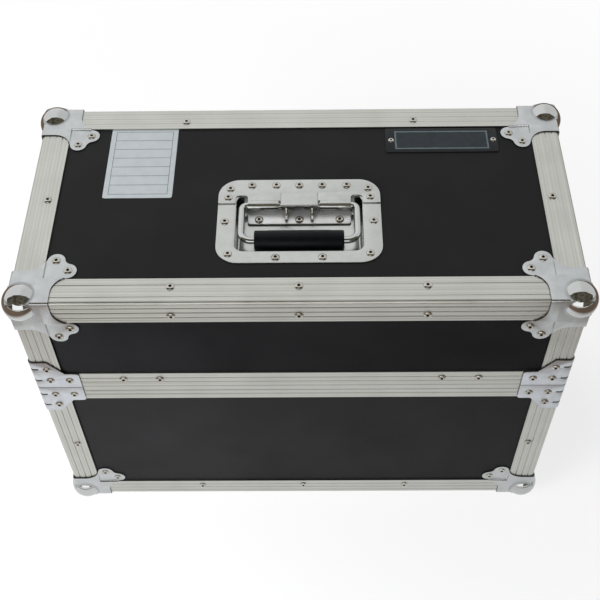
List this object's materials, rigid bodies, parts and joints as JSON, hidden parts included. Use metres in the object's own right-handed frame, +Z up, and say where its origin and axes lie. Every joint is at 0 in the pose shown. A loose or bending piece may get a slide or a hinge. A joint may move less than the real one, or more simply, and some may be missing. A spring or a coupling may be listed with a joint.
{
  "type": "microphone case",
  "caption": "Flight case for microphones: laminated panels, aluminium edges, ball corners, hinged lid with recessed handle, recessed end latches and bored foam.",
  "frame": {"origin": "centre of the footprint, on the floor plane under the rubber feet", "axes": "+X along the case, +Y towards the hinges, +Z up; the front long side faces -Y"},
  "size_m": [0.4734, 0.2354, 0.3397],
  "materials": {
    "laminated_plywood": "matte",
    "anodised_aluminium": "satin",
    "corner_steel": "gloss",
    "latch_steel": "satin",
    "handle_steel": "gloss",
    "spring_steel": "satin",
    "grip_rubber": "satin",
    "foot_rubber": "matte",
    "foam": "matte",
    "badge_paint": "satin"
  },
  "bodies": {
    "base": {"base_front_panel": "laminated_plywood", "base_rear_panel": "laminated_plywood", "base_left_panel": "laminated_plywood", "base_right_panel": "laminated_plywood", "base_bottom_panel": "laminated_plywood", "base_front_edge": "anodised_aluminium", "base_rear_edge": "anodised_aluminium", "base_left_edge": "anodised_aluminium", "base_right_edge": "anodised_aluminium", "base_corner_posts": "anodised_aluminium", "base_front_closing": "anodised_aluminium", "base_rear_closing": "anodised_aluminium", "base_end_closings": "anodised_aluminium", "base_ball_corners": "corner_steel", "base_braces": "corner_steel", "rubber_feet": "foot_rubber", "foam_base_block": "foam", "foam_front_row": "foam", "foam_middle_row": "foam", "foam_rear_row": "foam", "hinge_base_leaves": "latch_steel", "hinge_pins": "latch_steel", "latch_dish_left": "latch_steel", "latch_dish_right": "latch_steel", "latch_bridges": "latch_steel", "latch_hook_pins": "latch_steel"},
    "lid": {"lid_front_panel": "laminated_plywood", "lid_rear_panel": "laminated_plywood", "lid_left_panel": "laminated_plywood", "lid_right_panel": "laminated_plywood", "lid_top_panel": "laminated_plywood", "lid_front_edge": "anodised_aluminium", "lid_rear_edge": "anodised_aluminium", "lid_left_edge": "anodised_aluminium", "lid_right_edge": "anodised_aluminium", "lid_corner_posts": "anodised_aluminium", "lid_front_closing": "anodised_aluminium", "lid_rear_closing": "anodised_aluminium", "lid_end_closings": "anodised_aluminium", "lid_ball_corners": "corner_steel", "lid_braces": "corner_steel", "hinge_lid_leaves": "latch_steel", "keeper_dish_left": "latch_steel", "keeper_dish_right": "latch_steel", "latch_strikes": "latch_steel", "lid_foam": "foam", "handle_dish": "handle_steel", "handle_hinge_plate": "handle_steel", "handle_clamp_plate": "handle_steel", "handle_springs": "spring_steel", "badge_plate": "badge_paint"},
    "bail": {"handle_bail": "handle_steel", "handle_grip": "grip_rubber"},
    "spindle_left": {"latch_spindle_left": "latch_steel"},
    "wing_left": {"latch_wing_left": "latch_steel"},
    "hook_left": {"latch_hook_left": "latch_steel"},
    "spindle_right": {"latch_spindle_right": "latch_steel"},
    "wing_right": {"latch_wing_right": "latch_steel"},
    "hook_right": {"latch_hook_right": "latch_steel"}
  },
  "joints": [
    {"name": "lid_hinge", "type": "hinge", "parent": "base", "child": "lid", "pos_m": [0, 0.1141, 0.214], "axis": [-1, 0, 0], "range_deg": [0, 100]},
    {"name": "bail_lift", "type": "hinge", "parent": "lid", "child": "bail", "pos_m": [0, -0.0057, 0.33], "axis": [-1, 0, 0], "range_deg": [0, 90], "stiffness_Nm_per_rad": 0.08, "springref_deg": -22.92},
    {"name": "latch_turn_left", "type": "hinge", "parent": "base", "child": "spindle_left", "pos_m": [-0.2206, 0, 0.181], "axis": [-1, 0, 0], "range_deg": [0, 180]},
    {"name": "wing_fold_left", "type": "hinge", "parent": "spindle_left", "child": "wing_left", "pos_m": [-0.2246, 0, 0.181], "axis": [0, 1, 0], "range_deg": [0, 90]},
    {"name": "hook_tilt_left", "type": "hinge", "parent": "base", "child": "hook_left", "pos_m": [-0.2149, 0, 0.164], "axis": [0, 1, 0], "range_deg": [0, 5]},
    {"name": "latch_turn_right", "type": "hinge", "parent": "base", "child": "spindle_right", "pos_m": [0.2206, 0, 0.181], "axis": [1, 0, 0], "range_deg": [0, 180]},
    {"name": "wing_fold_right", "type": "hinge", "parent": "spindle_right", "child": "wing_right", "pos_m": [0.2246, 0, 0.181], "axis": [0, -1, 0], "range_deg": [0, 90]},
    {"name": "hook_tilt_right", "type": "hinge", "parent": "base", "child": "hook_right", "pos_m": [0.2149, 0, 0.164], "axis": [0, -1, 0], "range_deg": [0, 5]}
  ],
  "couplings": [
    {"joint": "hook_tilt_left", "follows": "latch_turn_left", "ratio": 0.027775},
    {"joint": "hook_tilt_right", "follows": "latch_turn_right", "ratio": 0.027775}
  ]
}
